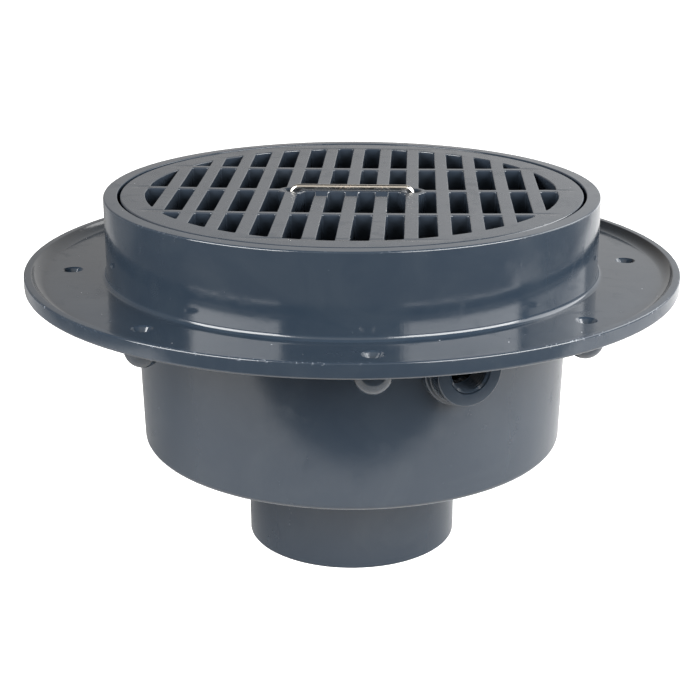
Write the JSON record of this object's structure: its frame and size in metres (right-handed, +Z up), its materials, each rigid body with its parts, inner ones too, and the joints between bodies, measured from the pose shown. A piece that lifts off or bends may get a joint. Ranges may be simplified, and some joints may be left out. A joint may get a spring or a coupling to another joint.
{
  "type": "floor drain",
  "caption": "Moulded floor drain with an outlet spigot, a bowl with a side port, a broad membrane flange and a collar holding a slotted strainer with a wire lifting bail.",
  "frame": {"origin": "centre of the outlet spigot's bottom rim, on the surface that the drain stands on", "axes": "+Z up along the drain's axis; -Y through one of the flange's screw holes; the side port lies half a screw spacing round from -Y towards +X"},
  "size_m": [0.345, 0.345, 0.196],
  "materials": {
    "drain_body": "glossy slate grey moulded PVC",
    "grate": "satin grey moulded PVC",
    "lift_handle": "bright drawn stainless wire"
  },
  "bodies": {
    "drain": {"drain_body": "drain_body", "grate": "grate"},
    "bail": {"lift_handle": "lift_handle"}
  },
  "joints": [
    {"name": "handle_lift", "type": "slide", "parent": "drain", "child": "bail", "axis": [0, 0, 1], "range_m": [0, 0.028]}
  ]
}
